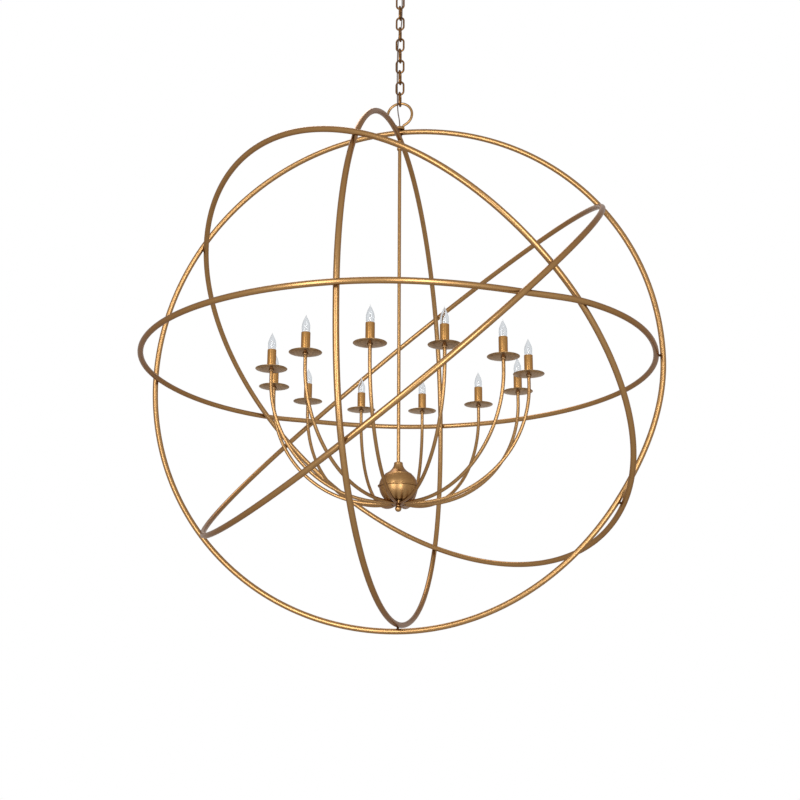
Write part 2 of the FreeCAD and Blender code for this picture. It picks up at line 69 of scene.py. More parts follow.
class Value:
    """A number socket of a node tree; an expression on values adds its Math nodes."""

    def __init__(self, nodes: "Nodes", socket: bpy.types.NodeSocket) -> None:
        """Keeps the tree and the socket."""
        self.nodes = nodes
        self.socket = socket

    def _math(self, operation: str, first: Any, second: Any = 0.0) -> "Value":
        """Adds one Math node on two values or numbers."""
        return self.nodes.add(self.nodes.math_type, {"operation": operation}, {0: first, 1: second})[0]

    def __add__(self, other: Any) -> "Value":
        """Sum."""
        return self._math("ADD", self, other)

    __radd__ = __add__

    def __sub__(self, other: Any) -> "Value":
        """Difference."""
        return self._math("SUBTRACT", self, other)

    def __rsub__(self, other: Any) -> "Value":
        """Difference, the other way round."""
        return self._math("SUBTRACT", other, self)

    def __mul__(self, other: Any) -> "Value":
        """Product."""
        return self._math("MULTIPLY", self, other)

    __rmul__ = __mul__

    def __truediv__(self, other: Any) -> "Value":
        """Quotient."""
        return self._math("DIVIDE", self, other)

    def __rtruediv__(self, other: Any) -> "Value":
        """Quotient, the other way round."""
        return self._math("DIVIDE", other, self)

    def at_least(self, other: Any) -> "Value":
        """Larger of two values."""
        return self._math("MAXIMUM", self, other)

    def at_most(self, other: Any) -> "Value":
        """Smaller of two values."""
        return self._math("MINIMUM", self, other)


class Step:
    """One node of a tree, whose outputs are read by name or number."""

    def __init__(self, nodes: "Nodes", node: bpy.types.Node) -> None:
        """Keeps the tree and the node."""
        self.nodes = nodes
        self.node = node

    def __getitem__(self, key: str | int) -> Value:
        """Output socket, as a value."""
        return Value(self.nodes, self.node.outputs[key])


class Nodes:
    """A node tree that is written top to bottom."""

    math_type = "ShaderNodeMath"

    def __init__(self, tree: bpy.types.NodeTree) -> None:
        """Clears the tree.

        Args:
            tree: the shader, world or geometry tree to fill.
        """
        self.tree = tree
        tree.nodes.clear()

    def add(self, kind: str, settings: dict[str, Any] | None = None, inputs: Links | None = None) -> Step:
        """Adds one node.

        Args:
            kind: the node's type.
            settings: the node's own properties, set first.
            inputs: values or links of its sockets, by name or number.

        Returns:
            The node, ready to be linked from.
        """
        node = self.tree.nodes.new(kind)
        for name, setting in (settings or {}).items():
            setattr(node, name, setting)
        for key, given in (inputs or {}).items():
            socket = node.inputs[key]
            if isinstance(given, Value):
                self.tree.links.new(given.socket, socket)
            else:
                socket.default_value = given
        return Step(self, node)

    def place(self) -> Value:
        """The piece's own coordinates."""
        return self.add("ShaderNodeTexCoord")["Object"]

    def noise(self, scale: float, detail: float, roughness: float = 0.5) -> Value:
        """Cloudy pattern in the piece's own coordinates."""
        return self.add("ShaderNodeTexNoise", {}, {
            "Vector": self.place(), "Scale": scale, "Detail": detail, "Roughness": roughness})["Fac"]

    def mix(self, factor: Any, first: Any, second: Any) -> Value:
        """Mixes two colours.

        Args:
            factor: share of the second colour.
            first: colour or link where the factor is 0.
            second: colour or link where the factor is 1.

        Returns:
            The mixed colour.
        """
        step = self.add("ShaderNodeMix", {"data_type": "RGBA"})
        for name, given in (("Factor_Float", factor), ("A_Color", first), ("B_Color", second)):
            socket = next(s for s in step.node.inputs if s.identifier == name)
            if isinstance(given, Value):
                self.tree.links.new(given.socket, socket)
            elif isinstance(given, (tuple, list)):
                socket.default_value = (*given, 1.0)
            else:
                socket.default_value = given
        return Value(self, next(s for s in step.node.outputs if s.identifier == "Result_Color"))


def shader_tree(name: str) -> tuple[bpy.types.Material, Nodes]:
    """Makes an empty material.

    Args:
        name: the material's name.

    Returns:
        The material and its tree.
    """
    material = bpy.data.materials.new(name)
    material.use_nodes = True
    return material, Nodes(material.node_tree)


@dataclass(frozen=True)
class Surface:
    """A finish made of one shader; each kind says what that shader's sockets hold."""

    name: str

    def sockets(self, nodes: Nodes) -> Links:
        """What the shader's sockets hold, by name."""
        raise NotImplementedError

    def build(self) -> bpy.types.Material:
        """Makes the material.

        Returns:
            The material, under the finish's name.
        """
        material, nodes = shader_tree(self.name)
        surface = nodes.add("ShaderNodeBsdfPrincipled", {}, self.sockets(nodes))
        nodes.add("ShaderNodeOutputMaterial", {}, {"Surface": surface["BSDF"]})
        return material


@dataclass(frozen=True)
class GoldLeaf(Surface):
    """Gold leaf finish over iron, toned down with a brown glaze.

    Attributes:
        bright: leaf where it is rubbed clean.
        deep: leaf where the glaze lies.
        glaze: share of the glaze, from 0 to 1.
        mottle: how much that share varies over the surface.
        grain: size of the mottling, in metres.
        fleck_share: strength of the fine flecks beside the clouds.
        roughness: smallest and largest roughness.
        relief: height of the fine pits, in metres.
        metallic: share of bare metal in the finish.
        edge: tint of the metal where it is seen edge on.
        film: tint of the clear brown film that covers leaf and glaze alike.
        film_index: refractive index of that film.
    """

    bright: Colour = (0.61, 0.45, 0.265)
    deep: Colour = (0.42, 0.29, 0.165)
    glaze: float = 0.35
    mottle: float = 0.5
    grain: float = 0.03
    fleck_share: float = 0.6
    roughness: tuple[float, float] = (0.29, 0.34)
    relief: float = 0.00001
    metallic: float = 0.95
    edge: Tint = (0.7, 0.62, 0.54, 1.0)
    film: Tint = (0.6, 0.48, 0.34, 1.0)
    film_index: float = 1.09

    def sockets(self, nodes: Nodes) -> Links:
        """Leaf and glaze in clouds and flecks, under the film.

        Args:
            nodes: the material's tree.

        Returns:
            What the shader's sockets hold, by name.
        """
        cloud = nodes.noise(1 / self.grain, 4.0)
        fleck = nodes.noise(9 / self.grain, 3.0, 0.6)
        blend = cloud - noise_middle + (fleck - noise_middle) * self.fleck_share
        veil = (blend * self.mottle + self.glaze).at_least(0.0).at_most(1.0)
        low, high = self.roughness
        bump = nodes.add("ShaderNodeBump", {}, {"Strength": 0.3, "Distance": self.relief, "Height": fleck})
        return {
            "Base Color": nodes.mix(veil, self.bright, self.deep), "Metallic": self.metallic,
            "Specular Tint": self.edge, "Coat Weight": 1.0, "Coat Roughness": 0.3,
            "Coat IOR": self.film_index, "Coat Tint": self.film,
            "Roughness": veil * (high - low) + low, "Normal": bump["Normal"]}


@dataclass(frozen=True)
class ClearGlass(Surface):
    """Clear blown glass of the lamps.

    Attributes:
        tint: colour of the glass.
        smoke: tint of the thin coat over it.
    """

    tint: Tint = (0.975, 0.98, 0.985, 1.0)
    smoke: Tint = (0.93, 0.935, 0.94, 1.0)

    def sockets(self, nodes: Nodes) -> Links:
        """Clear glass in a thin smoky coat."""
        return {
            "Base Color": self.tint, "Roughness": 0.0, "IOR": 1.3, "Transmission Weight": 1.0,
            "Coat Weight": 1.0, "Coat Roughness": 0.02, "Coat IOR": 1.02, "Coat Tint": self.smoke}


@dataclass(frozen=True)
class PlainMetal(Surface):
    """Turned or rolled metal with a fine grain, such as plated steel or filament wire.

    Attributes:
        colour: the metal's colour.
        roughness: its roughness in the middle of the grain.
        grain: size of the grain, in metres.
    """

    colour: Colour
    roughness: float = 0.35
    grain: float = 0.0015

    def sockets(self, nodes: Nodes) -> Links:
        """Bare metal, darker and duller in its grain.

        Args:
            nodes: the material's tree.

        Returns:
            What the shader's sockets hold, by name.
        """
        grain = nodes.noise(1 / self.grain, 4.0)
        worn = tuple(0.7 * channel for channel in self.colour)
        return {"Base Color": nodes.mix(grain, self.colour, worn), "Metallic": 1.0,
                "Roughness": (grain - noise_middle) * 0.2 + self.roughness}


@dataclass(frozen=True)
class Covering(Surface):
    """Dull moulded or extruded covering, such as the cord's sheath or a lamp socket.

    Attributes:
        colour: the covering's colour between the ridges.
        roughness: its roughness.
        ridge: width of a ridge, in metres.
    """

    colour: Colour
    roughness: float = 0.6
    ridge: float = 0.0012

    def sockets(self, nodes: Nodes) -> Links:
        """Fine slanted ridges, with a painted highlight that makes their crests paler than their grooves.

        Args:
            nodes: the material's tree.

        Returns:
            What the shader's sockets hold, by name.
        """
        twill = nodes.add("ShaderNodeTexWave", {"wave_type": "BANDS", "bands_direction": "DIAGONAL"}, {
            "Vector": nodes.place(), "Scale": 0.3 / self.ridge, "Distortion": 1.0, "Detail": 2.0})["Fac"]
        # Painted highlight: the crests are lifted towards a paler colour by the same height that drives the
        # bump.
        pale = tuple(min(1.0, 1.9 * channel) for channel in self.colour)
        bump = nodes.add("ShaderNodeBump", {}, {"Strength": 0.4, "Distance": 0.0002, "Height": twill})
        return {"Base Color": nodes.mix(twill, self.colour, pale), "Roughness": self.roughness,
                "Normal": bump["Normal"]}


class Finish(Enum):
    """Finishes of the chandelier."""

    HOOP = GoldLeaf("gold_leaf_hoops")
    ARM = GoldLeaf("gold_leaf_arms", grain=0.022)
    HUB = GoldLeaf("gold_leaf_hub", grain=0.02, roughness=(0.35, 0.43))
    SLEEVE = GoldLeaf("gold_leaf_sleeves", bright=(0.68, 0.46, 0.22), deep=(0.5, 0.32, 0.14), grain=0.014)
    DISC = GoldLeaf("gold_leaf_discs", bright=(0.44, 0.31, 0.185), deep=(0.16, 0.1, 0.055), grain=0.006,
                    glaze=0.45, mottle=2.4, relief=0.0002, edge=(0.8, 0.75, 0.7, 1.0),
                    film=(0.8, 0.72, 0.6, 1.0))
    CHAIN = GoldLeaf("dark_leaf_chain", bright=(0.42, 0.26, 0.13), deep=(0.2, 0.12, 0.06), grain=0.01,
                     glaze=0.5)
    PIN = GoldLeaf("dark_pins", bright=(0.16, 0.1, 0.05), deep=(0.05, 0.03, 0.02), grain=0.01)
    GLASS = ClearGlass("clear_lamp_glass")
    STEEL = PlainMetal("plated_steel", (0.6, 0.58, 0.53))
    BASE = PlainMetal("lamp_base_brass", (0.72, 0.55, 0.28), 0.3)
    WIRE = PlainMetal("filament_wire", (0.5, 0.47, 0.42), 0.4)
    SOCKET = Covering("black_socket", (0.03, 0.03, 0.03), 0.5)
    SHEATH = Covering("brown_cord_sheath", (0.045, 0.024, 0.014), 0.55)

    def material(self) -> bpy.types.Material:
        """Material of this finish, made once."""
        return bpy.data.materials.get(self.value.name) or self.value.build()


class GeometryTree(Nodes):
    """A Geometry Nodes tree with named inputs that ends in Realize Instances and Set Material."""

    def __init__(self, name: str, sizes: dict[str, str]) -> None:
        """Opens the tree.

        Args:
            name: the tree's name.
            sizes: socket type of each named input, after the geometry and before the material.
        """
        super().__init__(bpy.data.node_groups.new(name, "GeometryNodeTree"))
        face = self.tree.interface
        face.new_socket("Geometry", in_out="INPUT", socket_type="NodeSocketGeometry")
        for label, kind in sizes.items():
            face.new_socket(label, in_out="INPUT", socket_type=f"NodeSocket{kind}")
        face.new_socket("Material", in_out="INPUT", socket_type="NodeSocketMaterial")
        face.new_socket("Geometry", in_out="OUTPUT", socket_type="NodeSocketGeometry")
        self.given = self.add("NodeGroupInput")

    def close(self, geometry: Value) -> None:
        """Ends the tree with realised geometry in the given material.

        Args:
            geometry: what the tree has made.
        """
        solid = self.add("GeometryNodeRealizeInstances", {}, {"Geometry": geometry})[0]
        dressed = self.add("GeometryNodeSetMaterial", {}, {
            "Geometry": solid, "Material": self.given["Material"]})[0]
        self.add("NodeGroupOutput", {}, {"Geometry": dressed})

    def apply(self, source: bpy.types.Object, name: str, finish: Finish, **sizes: Any) -> bpy.types.Object:
        """Runs the tree on an object and keeps the result as a plain mesh.

        Args:
            source: the object with the path, points or pattern piece; it is used up.
            name: the finished piece's name.
            finish: finish of the piece.
            **sizes: the named inputs, spaces written as underscores.

        Returns:
            The finished piece, with its place in its mesh.
        """
        modifier = source.modifiers.new("making", "NODES")
        modifier.node_group = self.tree
        wanted = {key.replace("_", " "): given for key, given in sizes.items()}
        wanted["Material"] = finish.material()
        for item in self.tree.interface.items_tree:
            if item.in_out == "INPUT" and item.name in wanted:
                modifier[item.identifier] = wanted[item.name]
        graph = bpy.context.evaluated_depsgraph_get()
        mesh = bpy.data.meshes.new_from_object(source.evaluated_get(graph), depsgraph=graph)
        source.modifiers.clear()
        bpy.data.objects.remove(source)
        piece = new_object(name, mesh)
        mesh.shade_smooth()
        return piece


@cache
def tube_tree() -> GeometryTree:
    """Tree that turns a path into a round tube with closed ends.

    Returns:
        The tree, made once.
    """
    tree = GeometryTree("round_tube", {"Radius": "Float", "Sides": "Int"})
    path = tree.add("GeometryNodeMeshToCurve", {}, {"Mesh": tree.given["Geometry"]})[0]
    ring = tree.add("GeometryNodeCurvePrimitiveCircle", {"mode": "RADIUS"}, {
        "Resolution": tree.given["Sides"], "Radius": tree.given["Radius"]})[0]
    body = tree.add("GeometryNodeCurveToMesh", {}, {
        "Curve": path, "Profile Curve": ring, "Fill Caps": True})[0]
    tree.close(body)
    return tree


@cache
def round_tree() -> GeometryTree:
    """Tree that repeats a pattern piece round the Z axis.

    Returns:
        The tree, made once.
    """
    tree = GeometryTree("round_the_axis", {"Count": "Int"})
    points = tree.add("GeometryNodePoints", {}, {"Count": tree.given["Count"]})[0]
    number = tree.add("GeometryNodeInputIndex")[0]
    angle = number * full_turn / tree.given["Count"]
    turn = tree.add("ShaderNodeCombineXYZ", {}, {"Z": angle})[0]
    copies = tree.add("GeometryNodeInstanceOnPoints", {}, {
        "Points": points, "Instance": tree.given["Geometry"], "Rotation": turn})[0]
    tree.close(copies)
    return tree


@cache
def pin_tree() -> GeometryTree:
    """Tree that stands a short pin on each point, pointing away from a centre.

    Returns:
        The tree, made once.
    """
    tree = GeometryTree("crossing_pins", {"Radius": "Float", "Length": "Float", "Centre": "Vector"})
    pin = tree.add("GeometryNodeMeshCylinder", {}, {
        "Vertices": 20, "Radius": tree.given["Radius"], "Depth": tree.given["Length"]})["Mesh"]
    place = tree.add("GeometryNodeInputPosition")[0]
    outward = tree.add("ShaderNodeVectorMath", {"operation": "SUBTRACT"}, {
        0: place, 1: tree.given["Centre"]})[0]
    turn = tree.add("FunctionNodeAlignRotationToVector", {"axis": "Z"}, {"Vector": outward})[0]
    copies = tree.add("GeometryNodeInstanceOnPoints", {}, {
        "Points": tree.given["Geometry"], "Instance": pin, "Rotation": turn})[0]
    tree.close(copies)
    return tree


def new_object(name: str, mesh: bpy.types.Mesh) -> bpy.types.Object:
    """Puts a mesh in the scene.

    Args:
        name: name of the object and its mesh.
        mesh: the mesh, in its place.

    Returns:
        The new object, at the origin.
    """
    mesh.name = name
    thing = bpy.data.objects.new(name, mesh)
    bpy.context.scene.collection.objects.link(thing)
    return thing


def path_object(points: Sequence[Vector], closed: bool = False) -> bpy.types.Object:
    """Line through points, for a tree that follows a path.

    Args:
        points: the path's points, in order.
        closed: whether the last point joins the first.

    Returns:
        An object whose mesh holds only the line.
    """
    count = len(points)
    edges = [(k, (k + 1) % count) for k in range(count if closed else count - 1)]
    mesh = bpy.data.meshes.new("path")
    mesh.from_pydata([tuple(point) for point in points], edges, [])
    return new_object("path", mesh)


def tube_along(points: Sequence[Vector], name: str, finish: Finish, radius: float, sides: int,
               closed: bool = False) -> bpy.types.Object:
    """Round tube along a path."""
    return tube_tree().apply(path_object(points, closed), name, finish, Radius=radius, Sides=sides)


def around(pattern: bpy.types.Object, name: str, finish: Finish, count: int) -> bpy.types.Object:
    """Copies of a pattern piece, evenly round the Z axis."""
    return round_tree().apply(pattern, name, finish, Count=count)


def lathe(name: str, outline: Outline, finish: Finish, segments: int = 64) -> bpy.types.Object:
    """Turned piece round the Z axis from a closed outline of (radius, height) points.

    Args:
        name: the piece's name.
        outline: the outline, either way round; points on the axis close it there.
        finish: the piece's finish.
        segments: number of steps round the axis.

    Returns:
        The piece, smooth and with its faces outwards.
    """
    shape = bmesh.new()
    rings = []
    for radius, height in outline:
        if radius < on_axis:
            rings.append([shape.verts.new((0, 0, height))] * segments)
            continue
        turns = [full_turn * k / segments for k in range(segments)]
        rings.append([shape.verts.new((radius * math.cos(t), radius * math.sin(t), height)) for t in turns])
    for here, there in zip(rings, rings[1:] + rings[:1]):
        for k in range(segments):
            ring = (here[k], here[(k + 1) % segments], there[(k + 1) % segments], there[k])
            corners = list(dict.fromkeys(ring))
            if len(corners) > 2:
                shape.faces.new(corners)
    bmesh.ops.recalc_face_normals(shape, faces=shape.faces)
    mesh = bpy.data.meshes.new(name)
    shape.to_mesh(mesh)
    shape.free()
    mesh.shade_smooth()
    mesh.set_sharp_from_angle(angle=sharp_edge)
    mesh.materials.append(finish.material())
    return new_object(name, mesh)


def round_points(centre: tuple[float, float], radii: tuple[float, float], start: float, end: float,
                 steps: int) -> Outline:
    """Points on a round or an oval outline.

    Args:
        centre: middle, as (radius, height).
        radii: half its width and half its height.
        start: first angle in degrees.
        end: last angle in degrees.
        steps: number of steps between them.

    Returns:
        The points, both ends included.
    """
    angles = [math.radians(start + (end - start) * k / steps) for k in range(steps + 1)]
    return [(centre[0] + radii[0] * math.cos(t), centre[1] + radii[1] * math.sin(t)) for t in angles]


def softened(outline: Outline, radius: float, steps: int = 4) -> Outline:
    """Rounds every corner of a closed outline a little.

    Args:
        outline: (radius, height) points.
        radius: length cut from each side of a corner, at most 0.4 of the side.
        steps: steps of each rounded corner.

    Returns:
        The outline with more points, axis points kept.
    """
    result: Outline = []
    count = len(outline)
    for k, (r, z) in enumerate(outline):
        if r < on_axis:
            result.append((r, z))
            continue
        here = Vector((r, z))
        sides = [Vector(outline[(k + step) % count]) - here for step in (-1, 1)]
        cuts = [side * min(radius / side.length, 0.4) for side in sides]
        for j in range(steps + 1):
            t = j / steps
            point = here + cuts[0] * (1 - t) ** 2 + cuts[1] * t ** 2
            result.append((point.x, point.y))
    return result


def dress(piece: bpy.types.Object, *nodes: str, body: str = "orb", slot: str = "antique_gold") -> None:
    """Fixes a finished piece to its body, hides the solids that it replaces and logs its face count.

    Args:
        piece: the piece.
        *nodes: the solids that it replaces.
        body: the body that it moves with.
        slot: the record's material slot; not used.
    """
    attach(piece, body)
    for node in nodes:
        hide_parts(node)
    log.info("%s: %d faces", piece.name, len(piece.data.polygons))


def joined(name: str, pieces: Sequence[bpy.types.Object]) -> bpy.types.Object:
    """Joins pieces into one mesh and keeps each one's material.

    Args:
        name: the new piece's name.
        pieces: the pieces, used up.

    Returns:
        The joined piece.
    """
    with bpy.context.temp_override(active_object=pieces[0], selected_editable_objects=list(pieces)):
        bpy.ops.object.join()
    pieces[0].name = name
    pieces[0].data.name = name
    return pieces[0]


def arc(centre: Vector, radius: float, start: float, end: float, spacing: float) -> list[Vector]:
    """Points of an arc in the XZ plane.

    Args:
        centre: its middle.
        radius: its radius.
        start: first angle in degrees.
        end: last angle in degrees.
        spacing: distance between points.

    Returns:
        The points, both ends included.
    """
    steps = max(3, math.ceil(math.radians(abs(end - start)) * radius / spacing))
    angles = [math.radians(start + (end - start) * k / steps) for k in range(steps + 1)]
    return [centre + Vector((radius * math.cos(t), 0, radius * math.sin(t))) for t in angles]


def without_repeats(points: Sequence[Vector]) -> list[Vector]:
    """Path without points that lie on the one before.

    Args:
        points: the path's points, in order.

    Returns:
        The points that are left.
    """
    kept = [points[0]]
    for point in points[1:]:
        if (point - kept[-1]).length > touching:
            kept.append(point)
    return kept


def facing(heading: float, tilt: float) -> Vector:
    """Unit vector from a heading and a tilt above the level, in degrees."""
    turn, rise = math.radians(heading), math.radians(tilt)
    return Vector((math.cos(rise) * math.cos(turn), math.cos(rise) * math.sin(turn), math.sin(rise)))


class Hoop(Enum):
    """The five hoops, by the direction that each one faces."""

    WIDE = ("hoop_upright_wide", -90.0, 0.0)
    LEVEL = ("hoop_level", 0.0, 90.0)
    NARROW = ("hoop_upright_narrow", 0.0, 0.0)
    RIGHT = ("hoop_leaning_right", 35.0, -46.0)
    LEFT = ("hoop_leaning_left", 49.0, 44.5)

    @property
    def node(self) -> str:
        """Name of the hoop's solid."""
        return self.value[0]

    @property
    def face(self) -> Vector:
        """Direction that the hoop faces."""
        return facing(self.value[1], self.value[2])


@dataclass
class WovenHoops:
    """Five hoops of round tube that pass over and under each other, and the pins between them."""

    centre: Vector
    tube: float = 15.9 * mm
    gap: float = 3.0 * mm
    pin: float = 7.0 * mm
    ring: float = 15.0 * mm
    ring_bore: float = 10.6 * mm
    outside: float = 1524.0 * mm
    step: float = 1.25
    sides: int = 28
    order: dict[tuple[Hoop, Hoop], tuple[Hoop, Hoop]] = field(default_factory=lambda: {
        (Hoop.WIDE, Hoop.LEVEL): (Hoop.WIDE, Hoop.WIDE),
        (Hoop.WIDE, Hoop.NARROW): (Hoop.WIDE, Hoop.WIDE),
        (Hoop.WIDE, Hoop.RIGHT): (Hoop.WIDE, Hoop.WIDE),
        (Hoop.WIDE, Hoop.LEFT): (Hoop.WIDE, Hoop.LEFT),
        (Hoop.LEVEL, Hoop.NARROW): (Hoop.LEVEL, Hoop.LEVEL),
        (Hoop.LEVEL, Hoop.RIGHT): (Hoop.RIGHT, Hoop.RIGHT),
        (Hoop.LEVEL, Hoop.LEFT): (Hoop.LEVEL, Hoop.LEVEL),
        (Hoop.NARROW, Hoop.RIGHT): (Hoop.RIGHT, Hoop.NARROW),
        (Hoop.NARROW, Hoop.LEFT): (Hoop.LEFT, Hoop.NARROW),
        (Hoop.RIGHT, Hoop.LEFT): (Hoop.RIGHT, Hoop.RIGHT),
    })

    @property
    def weave(self) -> float:
        """Half the distance between two crossing tubes' middles."""
        return (self.tube + self.gap) / 2

    @property
    def radius(self) -> float:
        """Radius midway between the outer and the inner tube of a crossing."""
        return self.outside / 2 - self.tube / 2 - self.weave

    def crossings(self) -> list[tuple[Vector, Hoop, Hoop]]:
        """Finds where the hoops cross.

        Returns:
            Each crossing's direction from the centre, its outer and its inner hoop.
        """
        found = []
        for pair, outer in self.order.items():
            direction = pair[0].face.cross(pair[1].face).normalized()
            for sign, outside in zip((1, -1), outer):
                found.append((direction * sign, outside, pair[1] if outside == pair[0] else pair[0]))
        return found

    def path(self, hoop: Hoop) -> list[Vector]:
        """Closed path of one hoop, bent out and in from crossing to crossing.

        Args:
            hoop: the hoop.

        Returns:
            The path's points, in order.
        """
        own = [(direction, outside) for direction, outside, inside in self.crossings()
               if hoop in (outside, inside)]
        first = own[0][0]
        side = hoop.face.cross(first)
        stations = sorted(
            (round(math.atan2(side.dot(direction), first.dot(direction)), 5) % full_turn,
             self.radius + (self.weave if outside == hoop else -self.weave)) for direction, outside in own)
        points: list[Vector] = []
        for (start, here), (end, there) in zip(stations, stations[1:] + stations[:1]):
            span = (end - start) % full_turn
            steps = max(4, round(math.degrees(span) / self.step))
            for k in range(steps):
                turn = start + span * k / steps
                reach = here + (there - here) * (1 - math.cos(math.pi * k / steps)) / 2
                points.append(self.centre + (first * math.cos(turn) + side * math.sin(turn)) * reach)
        return points

    def build(self) -> None:
        """Makes and dresses the hoops and their pins."""
        for hoop in Hoop:
            piece = tube_along(self.path(hoop), f"{hoop.node}_tube", Finish.HOOP, self.tube / 2,
                               self.sides, closed=True)
            dress(piece, hoop.node)
        places = [self.centre + direction * self.radius for direction, _, _ in self.crossings()]
        mesh = bpy.data.meshes.new("crossings")
        mesh.from_pydata([tuple(place) for place in places], [], [])
        piece = pin_tree().apply(new_object("crossings", mesh), "crossing_pins", Finish.PIN,
                                 Radius=self.pin / 2, Length=self.gap + self.tube / 4, Centre=self.centre)
        foot = self.centre.z + self.radius - self.gap / 2
        inner, outer = self.ring_bore / 2, self.ring / 2
        ring = lathe("spacer_ring", [(inner, foot), (outer, foot), (outer, foot + self.gap),
                                     (inner, foot + self.gap), (inner, foot)], Finish.PIN)
        dress(joined("crossing_pins", [piece, ring]), "hoop_pins", slot="dark_pin")


@dataclass
class StemAndHub:
    """Stem with its coupling, and the ball that carries the arms, in heights above the centre."""

    centre: Vector
    stem: float = 10.3 * mm
    stem_wall: float = 1.6 * mm
    coupling: float = 14.0 * mm
    coupling_height: float = 24.0 * mm
    coupling_edge: float = 0.6 * mm
    band_bulge: float = 1.5 * mm
    band_height: float = 8.0 * mm
    equator: float = -347.0 * mm
    ball: float = 110.0 * mm
    rise: float = 47.0 * mm
    fall: float = 53.0 * mm
    wall: float = 1.5 * mm
    rim: float = 118.0 * mm
    rim_height: float = 5.0 * mm
    bell_neck: float = 25.0 * mm
    bell_top: float = -278.0 * mm
    bell_round: float = 3.0 * mm
    bell_foot: float = -314.0 * mm
    bell_width: float = 76.0 * mm
    bell_lip: float = 2.0 * mm
    bell_turn: float = 45.0
    plate_under: float = -391.0 * mm
    plate_thickness: float = 6.0 * mm
    plate_width: float = 56.0 * mm
    plate_edge: float = 2.0 * mm
    plate_slope: float = 1.2 * mm
    boss: float = 42.6 * mm
    boss_foot: float = -402.0 * mm
    boss_foot_width: float = 17.0 * mm
    boss_taper: float = 4.0 * mm
    finial: float = 18.5 * mm
    finial_neck: float = 11.3 * mm
    finial_middle: float = -411.5 * mm

    @property
    def seat(self) -> float:
        """Bore of the pieces that stand on the stem."""
        return self.stem / 2 + seam

    def raised(self, outline: Outline) -> Outline:
        """Outline moved from the centre's heights to the part's."""
        return [(radius, height + self.centre.z) for radius, height in outline]

    def build(self, pole: float) -> None:
        """Makes and dresses every turned piece.

        Args:
            pole: inside of the hoops at the top, above the centre.
        """
        low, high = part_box("stem")
        bore = self.stem / 2 - self.stem_wall
        stem = [(bore, low.z), (self.stem / 2, low.z), (self.stem / 2, high.z), (bore, high.z)]
        dress(lathe("stem_tube", stem, Finish.ARM, 32), "stem")
        for name, outline, node in (
                ("stem_coupling_turned", self.coupling_outline(pole), "stem_coupling"),
                ("hub_bell_turned", self.bell_outline(), "hub_bell"),
                ("hub_upper_spun", self.shell_outline(self.rise, self.meeting_angle()), "hub_upper_shell"),
                ("hub_lower_spun", self.shell_outline(-self.fall, self.plate_angle()), "hub_lower_shell"),
                ("hub_rim_rolled", self.rim_outline(), "hub_band"),
                ("arm_plate_turned", self.plate_outline(), "arm_plate"),
                ("finial_turned", self.finial_outline(), "finial")):
            dress(lathe(name, self.raised(outline), Finish.HUB, 96), node)

    def coupling_outline(self, pole: float) -> Outline:
        """Slim coupling with a rounded band at its foot.

        Args:
            pole: inside of the hoops at the top, above the centre.

        Returns:
            The outline, above the centre.
        """
        slim = self.coupling / 2
        top = pole - seam
        waist = top - self.coupling_height
        foot = waist - self.band_height
        edge = self.coupling_edge
        band = round_points((slim, (waist + foot) / 2), (self.band_bulge, self.band_height / 2), 90, -90, 12)
        return [(self.seat, foot), (self.seat, top), (slim - edge, top), (slim, top - edge)] + band

    def bell_outline(self) -> Outline:
        """Round neck that sweeps out to a wide foot.

        Returns:
            The outline, above the centre.
        """
        neck = self.bell_neck / 2
        foot = self.bell_width / 2
        shoulder = self.bell_top - self.bell_round
        turn = math.radians(self.bell_turn)
        radii = ((foot - neck) / (1 - math.cos(turn)),
                 (shoulder - self.bell_foot - self.bell_lip) / math.sin(turn))
        flare = round_points((neck + radii[0], shoulder), radii, 180, 180 + self.bell_turn, 20)
        crown = round_points((neck - self.bell_round, shoulder), (self.bell_round, self.bell_round), 90, 0, 6)
        lining = [(radius - self.wall, height - self.wall) for radius, height in reversed(flare)]
        return [(self.seat, self.bell_top)] + crown[:-1] + flare + [(foot, self.bell_foot)] + lining + [
            (self.seat, shoulder - self.wall)]

    def meeting_angle(self) -> float:
        """Angle on the ball where the bell stands on it."""
        return math.degrees(math.asin((self.bell_foot - seam - self.equator) / self.rise))

    def plate_angle(self) -> float:
        """Angle on the ball where the arm plate closes it."""
        return math.degrees(math.asin((self.equator - self.plate_under - self.plate_thickness) / self.fall))

    def shell_outline(self, height: float, end: float) -> Outline:
        """Thin half of the ball, from just off the rim to its opening.

        Args:
            height: height of this half, negative for the lower one.
            end: angle of its opening, in degrees.

        Returns:
            The outline, above the centre.
        """
        first = math.degrees(math.asin((self.rim_height / 2 + seam) / abs(height)))
        skin = round_points((0, self.equator), (self.ball / 2, height), first, end, 32)
        lining = [(radius - self.wall, level) for radius, level in reversed(skin)]
        return skin + lining

    def rim_outline(self) -> Outline:
        """Rolled rim round the ball's middle.

        Returns:
            The outline, above the centre.
        """
        half = self.rim_height / 2
        inner = self.ball / 2 - self.wall
        roll = round_points((self.rim / 2 - half, self.equator), (half, half), -90, 90, 16)
        return roll + [(inner, self.equator + half), (inner, self.equator - half)]

    def plate_outline(self) -> Outline:
        """Tapered plate that closes the ball, with the boss that the arms are fixed to.

        Returns:
            The outline, above the centre.
        """
        top = self.plate_under + self.plate_thickness
        wide = self.ball / 2 * math.sqrt(1 - ((top - self.equator) / self.fall) ** 2)
        edge = [(wide, top), (wide - self.plate_slope, top - self.plate_edge),
                (self.plate_width / 2, self.plate_under)]
        boss = [(self.boss / 2, self.plate_under), (self.boss / 2, self.boss_foot + self.boss_taper)]
        return [(self.seat, top)] + edge + boss + [
            (self.boss_foot_width / 2, self.boss_foot), (self.seat, self.boss_foot)]

